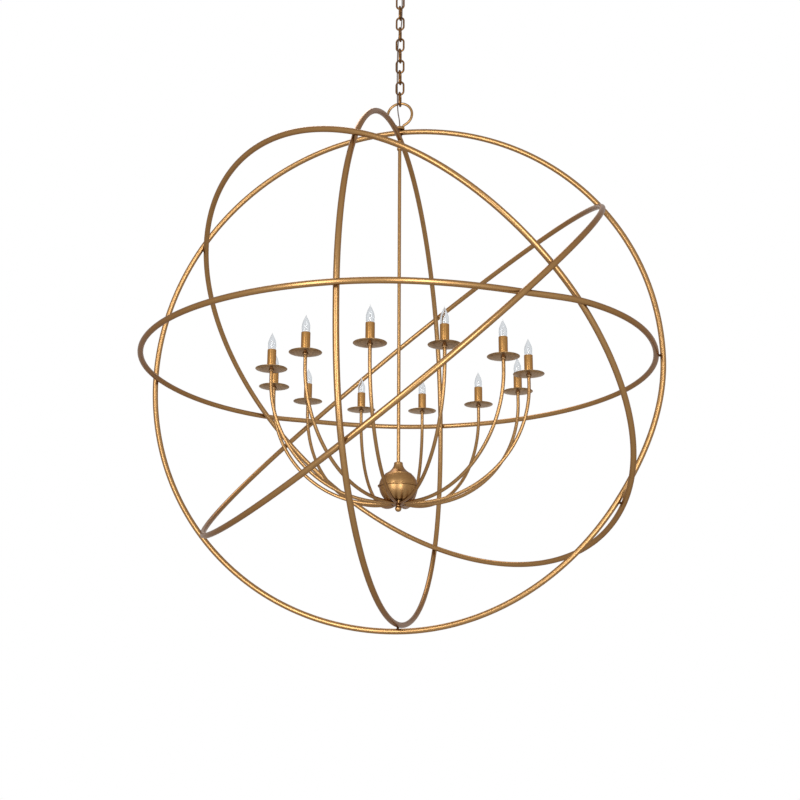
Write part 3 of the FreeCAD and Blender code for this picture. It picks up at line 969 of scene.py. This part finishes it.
    def finial_outline(self) -> Outline:
        """Small ball on a short neck.

        Returns:
            The outline, above the centre.
        """
        neck = self.finial_neck / 2
        radius = self.finial / 2
        join = math.degrees(math.acos(neck / radius))
        ball = round_points((0, self.finial_middle), (radius, radius), join, -90, 28)
        top = self.boss_foot - seam
        return [(0, top), (neck, top)] + ball


@dataclass
class CandleCluster:
    """Twelve curved arms with their discs, sleeves, sockets and lamps, in heights above the centre."""

    centre: Vector
    count: int = 12
    arm: float = 10.0 * mm
    root: float = 21.4 * mm
    level: float = -396.15 * mm
    level_end: float = 52.0 * mm
    reach: float = 378.0 * mm
    spring: float = -70.0 * mm
    arm_top: float = -34.0 * mm
    disc: float = 90.0 * mm
    disc_under: float = -38.5 * mm
    disc_wall: float = 1.4 * mm
    disc_dish: float = 2.5 * mm
    disc_flat: float = 30.0 * mm
    disc_fit: float = 0.3 * mm
    cup: float = 15.0 * mm
    cup_height: float = 5.0 * mm
    cup_round: float = 2.5 * mm
    sleeve: float = 25.0 * mm
    sleeve_wall: float = 0.9 * mm
    sleeve_top: float = 20.0 * mm
    socket: float = 17.0 * mm
    socket_height: float = 40.0 * mm
    socket_wall: float = 2.2 * mm
    socket_floor: float = 12.0 * mm
    lamp_gap: float = 0.35 * mm
    lamp_base: float = 28.0 * mm
    base_fit: float = 0.25 * mm
    thread_turns: int = 7
    thread_foot: float = 5.0 * mm
    thread_height: float = 20.0 * mm
    thread_depth: float = 0.4 * mm
    lamp_neck: float = 13.0 * mm
    belly: float = 23.0 * mm
    belly_height: float = 36.0 * mm
    tip: float = 71.5 * mm
    point: float = 1.3
    glass: float = 0.7 * mm
    filament_wire: float = 0.44 * mm

    def arm_path(self) -> list[Vector]:
        """Path of one arm in the XZ plane, about the centre: level out of the boss, then an oval sweep.

        Returns:
            The path's points, from the boss out.
        """
        wide = self.reach - self.level_end
        high = self.spring - self.level
        steps = 48
        points = [Vector((self.root, 0, self.level))]
        for turn in (math.pi / 2 * k / steps for k in range(steps + 1)):
            points.append(Vector((self.level_end + wide * math.sin(turn), 0,
                                  self.spring - high * math.cos(turn))))
        return points + [Vector((self.reach, 0, self.arm_top))]

    def disc_outline(self) -> Outline:
        """Thin disc with a turned-up edge and a cup under it.

        Returns:
            The outline, above the centre.
        """
        bore = self.arm / 2 + self.disc_fit
        edge = self.disc / 2
        cup = self.cup / 2
        top = self.disc_under + self.disc_wall
        foot = self.disc_under - self.cup_height
        lip = round_points((edge - self.disc_wall / 2, top + self.disc_dish - self.disc_wall / 2),
                           (self.disc_wall / 2, self.disc_wall / 2), 90, -60, 6)
        bend = self.cup_round
        taper = round_points((cup - bend, foot + bend), (bend, bend), 0, -60, 5)
        return [(bore, top), (self.disc_flat, top)] + lip + [
            (self.disc_flat, self.disc_under), (cup, self.disc_under)] + taper + [(bore, foot)]

    def sleeve_outline(self) -> Outline:
        """Plain sleeve with a fine rolled edge at its top.

        Returns:
            The outline, above the centre.
        """
        outer = self.sleeve / 2
        inner = outer - self.sleeve_wall
        low = self.disc_under + self.disc_wall + hairline
        roll = round_points((outer - self.sleeve_wall / 2, self.sleeve_top - self.sleeve_wall / 2),
                            (self.sleeve_wall / 2, self.sleeve_wall / 2), 0, 180, 6)
        return [(inner, low), (outer, low)] + roll

    def socket_outline(self) -> Outline:
        """Cup that takes the lamp's base.

        Returns:
            The outline, above the centre.
        """
        outer = self.socket / 2
        foot = self.arm_top + seam
        top = foot + self.socket_height
        inner = outer - self.socket_wall
        floor = foot + self.socket_floor
        return [(0, foot), (outer, foot), (outer, top), (inner, top), (inner, floor), (0, floor)]

    def lamp_foot(self) -> float:
        """Height of the lamp's lower end."""
        return self.arm_top + self.socket_floor + self.lamp_gap

    def lamp_skin(self, inset: float) -> Outline:
        """Flame outline from the neck up to the tip, drawn in by an inset.

        Args:
            inset: distance from the outer skin.

        Returns:
            The outline, above the centre.
        """
        shoulder = self.lamp_foot() + self.lamp_base
        neck = self.lamp_neck / 2
        belly = self.belly / 2
        low = round_points((neck, self.belly_height), (belly - neck, self.belly_height - shoulder),
                           -90, 0, 10)
        steps = 24
        high = []
        for part in (k / steps for k in range(1, steps + 1)):
            width = belly * math.cos(math.pi / 2 * part) ** self.point if part < 1 else 0.0
            high.append((width, self.belly_height + (self.tip - self.belly_height) * part))
        skin = [(max(radius - inset, 0.0), height) for radius, height in low + high]
        end = self.tip - 4 * inset
        return [(r, min(z, end)) for r, z in skin if r > touching] + [(0.0, end)]

    def glass_outline(self) -> Outline:
        """Thin glass: outer skin up, inner skin down, open at the base."""
        return self.lamp_skin(0.0) + list(reversed(self.lamp_skin(self.glass)))

    def base_outline(self) -> Outline:
        """Screw base in the socket, with a rounded thread.

        Returns:
            The outline, above the centre.
        """
        radius = self.socket / 2 - self.socket_wall - self.base_fit
        foot = self.lamp_foot()
        steps, depth = 8, self.thread_depth
        pitch = self.thread_height / self.thread_turns
        thread = [(radius - depth + depth * math.cos(full_turn * k / steps),
                   foot + self.thread_foot + pitch * k / steps)
                  for k in range(self.thread_turns * steps + 1)]
        top = foot + self.lamp_base
        contact, taper, rim = 3 * mm, 4 * mm, 1 * mm
        return [(0, foot), (contact, foot), (radius * 0.8, foot + taper)] + thread + [
            (radius, top - rim), (radius, top), (0, top)]

    def filament(self) -> bpy.types.Object:
        """Glass stem's wires with the filament bowed between them.

        Returns:
            The wire, on the candle's axis.
        """
        low = self.lamp_foot() + self.lamp_base
        foot, knee, knee_height, spread, rise = 1.2 * mm, 1.4 * mm, 8 * mm, 3.2 * mm, 9 * mm
        steps = 16
        bend = self.belly_height
        wire = [Vector((-foot, 0, low)), Vector((-knee, 0, low + knee_height)), Vector((-spread, 0, bend))]
        bow = [Vector((spread * math.cos(t), 0, bend + rise * math.sin(t)))
               for t in (math.pi * (1 - k / steps) for k in range(1, steps))]
        path = wire + bow + [Vector((-point.x, 0, point.z)) for point in reversed(wire)]
        return tube_along(path, "filament", Finish.WIRE, self.filament_wire / 2, 6)

    def placed(self, piece: bpy.types.Object) -> bpy.types.Object:
        """Pattern piece moved from the candle's axis to the first arm's end."""
        piece.data.transform(Matrix.Translation(Vector((self.reach, 0, self.centre.z))))
        return piece

    def build(self) -> None:
        """Makes and dresses the whole cluster."""
        path = [self.centre + point for point in self.arm_path()]
        arm = tube_along(path, "arm_pattern", Finish.ARM, self.arm / 2, 20)
        arms = around(arm, "curved_arms", Finish.ARM, self.count)
        dress(arms, *(f"arm_{k:02d}" for k in range(1, self.count + 1)))
        leaf, glass, black = "antique_gold", "lamp_glass", "socket_black"
        for name, outline, finish, node, slot, segments in (
                ("drip_discs_spun", self.disc_outline(), Finish.DISC, "drip_discs", leaf, 64),
                ("candle_sleeves_drawn", self.sleeve_outline(), Finish.SLEEVE, "candle_sleeves", leaf, 40),
                ("lamp_socket_cups", self.socket_outline(), Finish.SOCKET, "lamp_sockets", black, 24),
                ("lamp_glass", self.glass_outline(), Finish.GLASS, "bulbs", glass, 36),
                ("lamp_screw_bases", self.base_outline(), Finish.BASE, "bulbs", glass, 24)):
            pattern = self.placed(lathe(name + "_pattern", outline, finish, segments))
            dress(around(pattern, name, finish, self.count), node, slot=slot)
        wires = around(self.placed(self.filament()), "lamp_filaments", Finish.WIRE, self.count)
        dress(wires, "bulbs", slot=glass)


@dataclass
class WireLoop:
    """Round wire loop in the XZ plane whose ends turn together and stand side by side.

    Attributes:
        radius: radius of the wire's middle.
        wire: the wire's diameter.
        mouth: angle from the foot's middle to where the wire turns down, in degrees.
        bend: radius of that turn.
        middle: height of the loop's middle.
        upside: whether the ends point up.
        spacing: distance between the path's points.
    """

    radius: float
    wire: float
    mouth: float
    bend: float
    middle: float
    upside: bool = False
    spacing: float = 2.0 * mm

    def path(self) -> list[Vector]:
        """Path from one end round to the other.

        Returns:
            The path's points, in order.
        """
        tilt = math.sin(math.radians(self.mouth))
        ends = self.radius * tilt - self.bend * (1 - tilt)
        drop = (self.radius + self.bend) * math.cos(math.radians(self.mouth))
        knee = Vector((ends + self.bend, 0, -drop))
        points = arc(knee, self.bend, 180, 90 + self.mouth, self.spacing / 2)
        points += arc(Vector(), self.radius, self.mouth - 90, 270 - self.mouth, self.spacing)
        points += arc(Vector((-knee.x, 0, knee.z)), self.bend, 90 - self.mouth, 0, self.spacing / 2)
        flip = -1 if self.upside else 1
        return without_repeats([Vector((point.x, 0, self.middle + flip * point.z)) for point in points])

    def bent(self, name: str, finish: Finish, sides: int) -> bpy.types.Object:
        """The loop's wire, as a round tube."""
        return tube_along(self.path(), name, finish, self.wire / 2, sides)


@dataclass
class OrbLoop:
    """Large loop on its round base, on top of the orb."""

    loop: WireLoop
    width: float = 30.0 * mm
    height: float = 9.0 * mm
    crown: float = 3 * mm
    hole: float = 5.2 * mm

    def build(self, top: float) -> None:
        """Makes and dresses the loop.

        Args:
            top: height of the hoops' outside at the top.
        """
        outer = self.width / 2
        bend = self.crown
        crown = round_points((outer - bend, top + self.height - bend), (bend, bend), 0, 90, 6)
        outline = [(self.hole / 2, top), (outer, top)] + crown + [(self.hole / 2, top + self.height)]
        base = lathe("loop_base", outline, Finish.HOOP, 48)
        wire = self.loop.bent("loop_wire", Finish.HOOP, 20)
        dress(joined("orb_loop_forged", [base, wire]), "orb_loop")


@dataclass
class Chain:
    """Oval links, each turned a quarter from the next."""

    count: int = 11
    wire: float = 6.0 * mm
    width: float = 29.0 * mm
    spacing: float = 1.5 * mm

    def build(self) -> None:
        """Makes and dresses every link."""
        for number in range(1, self.count + 1):
            node = f"chain_link_{number:02d}"
            low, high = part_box(node)
            middle = (low.z + high.z) / 2
            half = (self.width - self.wire) / 2
            bar = (high.z - low.z) / 2 - self.wire / 2
            rise = Vector((0, 0, bar - half))
            points = arc(rise, half, 0, 180, self.spacing) + arc(-rise, half, 180, 360, self.spacing)
            turn = Matrix.Rotation(math.radians(90 if number % 2 else 0), 4, "Z")
            path = [Vector((0, 0, middle)) + turn @ point for point in without_repeats(points)]
            piece = tube_along(path, f"forged_link_{number:02d}", Finish.CHAIN, self.wire / 2, 16,
                               closed=True)
            dress(piece, node, body=f"link_{number:02d}")


@dataclass
class PowerCord:
    """Thin cord pulled tight along the chain; each link carries its own length of it.

    Attributes:
        cross: height where the cord changes sides.
        diameter: the cord's diameter.
        overlap: how far a length reaches over the height of its solid.
        side: distance of the cord beside the chain's axis.
        front: its place across the links, away from the loops.
        loop_front: its place across the links where it passes a loop.
        lean: height over which half the change of sides is made.
        upper: heights of the route at the ceiling, going down.
        lower: heights of the route at the orb, going down.
    """

    cross: float
    diameter: float = 3.5 * mm
    overlap: float = 1.2 * mm
    side: float = 7.3 * mm
    front: float = -6.4 * mm
    loop_front: float = -6.8 * mm
    lean: float = 18.825 * mm
    upper: tuple[float, float, float] = (-29.1 * mm, -43.1 * mm, -59.845 * mm)
    lower: tuple[float, float, float] = (-491.945 * mm, -528.948 * mm, -557.948 * mm)

    @property
    def route(self) -> list[tuple[float, float, float]]:
        """Control points from the collar's hole, round each loop and past the links, to the stem's."""
        return [(0, 0, self.upper[0]), (0, 0, self.upper[1]), (self.side, self.loop_front, self.upper[2]),
                (self.side, self.front, self.cross + self.lean),
                (-self.side, self.front, self.cross - self.lean),
                (-self.side, self.loop_front, self.lower[0]), (0, 0, self.lower[1]), (0, 0, self.lower[2])]

    def line(self) -> list[Vector]:
        """Smooth line along the route, read from its curve.

        Returns:
            The line's points, from the top down.
        """
        curve = bpy.data.curves.new("cord_route", "CURVE")
        curve.dimensions = "3D"
        spline = curve.splines.new("NURBS")
        spline.points.add(len(self.route) - 1)
        for point, place in zip(spline.points, self.route):
            point.co = (*place, 1.0)
        spline.order_u = 3
        spline.use_endpoint_u = True
        spline.resolution_u = 24
        holder = bpy.data.objects.new("cord_route", curve)
        bpy.context.scene.collection.objects.link(holder)
        mesh = bpy.data.meshes.new_from_object(holder)
        points = [vertex.co.copy() for vertex in mesh.vertices]
        bpy.data.objects.remove(holder)
        return sorted(points, key=lambda point: -point.z)

    def build(self, links: int) -> None:
        """Makes and dresses the cord.

        Args:
            links: number of chain links.
        """
        line = self.line()
        stretches = [("cord_at_ceiling", "ceiling_fitting")]
        stretches += [(f"cord_at_link_{number:02d}", f"link_{number:02d}") for number in range(links, 0, -1)]
        stretches.append(("cord_at_orb", "orb"))
        for node, body in stretches:
            low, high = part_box(node)
            part = self.between(line, high.z + self.overlap, low.z - self.overlap)
            piece = tube_along(part, f"{node}_sheath", Finish.SHEATH, self.diameter / 2, 12)
            dress(piece, node, body=body, slot="brown_cord")

    @staticmethod
    def between(line: Sequence[Vector], top: float, foot: float) -> list[Vector]:
        """Part of the line between two heights, cut exactly there.

        Args:
            line: the line's points, from the top down.
            top: upper height.
            foot: lower height.

        Returns:
            The points of that part.
        """
        part: list[Vector] = []
        for here, there in zip(line, line[1:]):
            for level in (top, foot):
                if here.z >= level > there.z:
                    part.append(here.lerp(there, (here.z - level) / (here.z - there.z)))
            if foot < there.z < top:
                part.append(there.copy())
        if foot < line[0].z < top:
            part.append(line[0].copy())
        return without_repeats(sorted(part, key=lambda point: -point.z))


@dataclass
class CeilingFitting:
    """Collar with its loop, ring nut, canopy, nipple and strap."""

    loop: WireLoop
    collar: float = 38.0 * mm
    collar_below: float = 2.0 * mm
    edge: float = 0.8 * mm
    cord_hole: float = 5.2 * mm
    nipple: float = 10.0 * mm
    nipple_bore: float = 6.4 * mm
    nipple_turns: int = 20
    nipple_thread: float = 0.35 * mm
    canopy: float = 130.0 * mm
    canopy_wall: float = 1.2 * mm
    canopy_lip: float = 5.0 * mm
    clearance: float = 0.3 * mm
    knurls: int = 60
    knurl: float = 0.45 * mm
    knurl_depth: float = 0.5 * mm
    knurl_end: float = 1.4 * mm

    def build(self) -> None:
        """Makes and dresses the fitting."""
        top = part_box("collar_loop")[1].z
        ring_low, ring_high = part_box("ring_nut")
        outer = self.collar / 2
        foot = ring_low.z - self.collar_below
        seat = self.nipple / 2 + hairline
        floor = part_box("threaded_nipple")[0].z
        outline = [(seat, top), (outer, top), (outer, foot + self.edge), (outer - self.edge, foot),
                   (self.cord_hole / 2, foot), (self.cord_hole / 2, floor), (seat, floor)]
        collar = lathe("collar", outline, Finish.HUB, 64)
        wire = self.loop.bent("collar_wire", Finish.HUB, 16)
        dress(joined("collar_loop_turned", [collar, wire]), "collar_loop", body="ceiling_fitting")
        self.build_ring(ring_low.z, ring_high.z)
        self.build_canopy()
        self.build_hidden()

    def build_ring(self, low: float, high: float) -> None:
        """Ring nut with a coarse knurl.

        Args:
            low: height of its underside.
            high: height of its top.
        """
        inner = self.collar / 2 + hairline
        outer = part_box("ring_nut")[1].x - self.knurl_depth
        ring = softened([(inner, low), (outer, low), (outer, high), (inner, high)], self.edge)
        body = lathe("ring", ring, Finish.HUB, 72)
        foot, top = low + self.knurl_end, high - self.knurl_end
        trace = lathe("rib", [(0.0, foot), (self.knurl, foot), (self.knurl, top), (0.0, top)],
                      Finish.HUB, 6)
        trace.data.transform(Matrix.Translation((outer, 0, 0)))
        ribs = around(trace, "ribs", Finish.HUB, self.knurls)
        dress(joined("ring_nut_knurled", [body, ribs]), "ring_nut", body="ring_nut")

    def build_canopy(self) -> None:
        """Spun canopy with a straight lip and a round side."""
        low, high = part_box("canopy")
        outer = self.canopy / 2
        hole = self.collar / 2 + self.clearance
        lip = high.z - self.canopy_lip
        side = lip - low.z
        wall = self.canopy_wall
        outline = [(outer, high.z)] + round_points((outer - side, lip), (side, side), 0, -90, 20)
        outline += [(hole, low.z), (hole, low.z + wall)]
        outline += round_points((outer - side, lip), (side - wall, side - wall), -90, 0, 20)
        outline.append((outer - wall, high.z))
        dress(lathe("canopy_spun", outline, Finish.HUB, 128), "canopy", body="canopy")

    def build_hidden(self) -> None:
        """Threaded nipple, and a plated finish on the strap's own solid."""
        low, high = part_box("threaded_nipple")
        radius, bore = self.nipple / 2, self.nipple_bore / 2
        steps = 4
        pitch = (high.z - low.z) / self.nipple_turns
        thread = [(radius - self.nipple_thread * (1 - math.cos(full_turn * k / steps)) / 2,
                   low.z + pitch * k / steps) for k in range(self.nipple_turns * steps + 1)]
        piece = lathe("nipple_threaded", thread + [(bore, high.z), (bore, low.z)], Finish.STEEL, 40)
        dress(piece, "threaded_nipple", body="ceiling_fitting", slot="plated_steel")
        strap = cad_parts["ceiling_strap"]
        strap.data.materials.clear()
        strap.data.materials.append(Finish.STEEL.material())


@dataclass
class Studio:
    """White room with soft lamps, the floor below and the camera."""

    centre: Vector
    camera: tuple[float, float, float] = (0.669, -3.281, -0.949)
    lens: float = 53.65
    pitch: float = 14.325
    roll: float = 0.215
    heading: float = 11.46
    floor_below: float = 2.2
    floor_size: float = 10.0
    floor_glow: float = 0.85
    shade: float = 0.15
    lamp_tint: Colour = (1.0, 0.98, 0.95)

    def build(self) -> None:
        """Makes the camera, the lamps, the world and the floor."""
        self.build_camera()
        self.build_world()
        self.build_floor()
        for name, place, size, power in (
                ("left_softbox", (-1.38, -4.0, -0.2), (0.9, 3.6), 115.0),
                ("right_softbox", (1.78, -3.73, -0.4), (0.9, 3.2), 105.0),
                ("back_softbox", (-1.3, 2.2, 3.6), (1.6, 1.6), 50.0)):
            self.build_lamp(name, Vector(place), size, power)

    def build_camera(self) -> None:
        """Camera below the orb's middle, looking up at it."""
        data = bpy.data.cameras.new("camera")
        data.lens = self.lens
        data.sensor_width = 36.0
        data.clip_end = 100.0
        camera = bpy.data.objects.new("camera", data)
        camera.location = self.centre + Vector(self.camera)
        turn = Euler((math.radians(90 + self.pitch), 0, math.radians(self.heading))).to_matrix()
        camera.rotation_euler = (turn @ Matrix.Rotation(math.radians(self.roll), 3, "Z")).to_euler()
        bpy.context.scene.collection.objects.link(camera)
        bpy.context.scene.camera = camera

    def build_lamp(self, name: str, offset: Vector, size: tuple[float, float], power: float) -> None:
        """Softbox that points at the orb's middle.

        Args:
            name: the lamp's name.
            offset: its place, from the orb's middle.
            size: its width and height.
            power: its power in watts.
        """
        data = bpy.data.lights.new(name, "AREA")
        data.shape = "RECTANGLE"
        data.size, data.size_y = size
        data.energy = power
        data.color = self.lamp_tint
        lamp = bpy.data.objects.new(name, data)
        lamp.location = self.centre + offset
        lamp.rotation_euler = (-offset).to_track_quat("-Z", "Y").to_euler()
        bpy.context.scene.collection.objects.link(lamp)

    def build_world(self) -> None:
        """White to the camera, through glass and in metal; its light on the piece is a soft grey."""
        world = bpy.data.worlds.new("white_room")
        world.use_nodes = True
        bpy.context.scene.world = world
        nodes = Nodes(world.node_tree)
        strength = self.seen(nodes) * (1 - self.shade) + self.shade
        sky = nodes.add("ShaderNodeBackground", {}, {"Color": (1, 1, 1, 1), "Strength": strength})
        nodes.add("ShaderNodeOutputWorld", {}, {"Surface": sky["Background"]})

    @staticmethod
    def seen(nodes: Nodes) -> Value:
        """1 where the room itself is seen: by the camera, in metal or through glass."""
        rays = nodes.add("ShaderNodeLightPath")
        return rays["Is Camera Ray"].at_least(rays["Is Glossy Ray"]).at_least(rays["Is Transmission Ray"])

    def build_floor(self) -> None:
        """Pale floor that the camera sees as white."""
        half = self.floor_size / 2
        z = self.centre.z - self.floor_below
        mesh = bpy.data.meshes.new("floor")
        corners = [(-half, -half, z), (half, -half, z), (half, half, z), (-half, half, z)]
        mesh.from_pydata(corners, [], [(0, 1, 2, 3)])
        floor = new_object("floor", mesh)
        material, nodes = shader_tree("pale_floor")
        paint = nodes.add("ShaderNodeBsdfDiffuse", {}, {"Color": (0.8, 0.8, 0.8, 1)})
        glow = nodes.add("ShaderNodeEmission", {}, {"Color": (1, 1, 1, 1), "Strength": 1.0})
        both = nodes.add("ShaderNodeMixShader", {}, {
            0: self.seen(nodes) * self.floor_glow, 1: paint["BSDF"], 2: glow["Emission"]})
        nodes.add("ShaderNodeOutputMaterial", {}, {"Surface": both["Shader"]})
        mesh.materials.append(material)


def main() -> None:
    """Builds the orb, the chain, the ceiling fitting and the cord, then the studio."""
    logging.basicConfig(level=logging.INFO, format="%(name)s %(message)s")
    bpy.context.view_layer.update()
    bpy.context.scene.view_settings.view_transform = "Standard"
    hoop_low, hoop_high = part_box(Hoop.WIDE.node)
    centre = Vector((0, 0, (hoop_low.z + hoop_high.z) / 2))
    hoops = WovenHoops(centre)
    hoops.build()
    StemAndHub(centre).build(hoops.radius - hoops.weave - hoops.tube / 2)
    CandleCluster(centre).build()
    radius, wire = 38 * mm, 8 * mm
    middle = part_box("orb_loop")[1].z - radius - wire / 2
    orb_loop = WireLoop(radius, wire, mouth=25.0, bend=10 * mm, middle=middle)
    OrbLoop(orb_loop).build(centre.z + hoops.outside / 2)
    chain = Chain()
    chain.build()
    radius, wire = 13 * mm, 5.5 * mm
    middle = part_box("collar_loop")[0].z + radius + wire / 2
    ceiling_loop = WireLoop(radius, wire, mouth=35.0, bend=5 * mm, middle=middle, upside=True)
    CeilingFitting(ceiling_loop).build()
    link_low, link_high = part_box("chain_link_07")
    PowerCord(cross=(link_low.z + link_high.z) / 2).build(chain.count)
    Studio(centre).build()


if __name__ == "__main__":
    main()
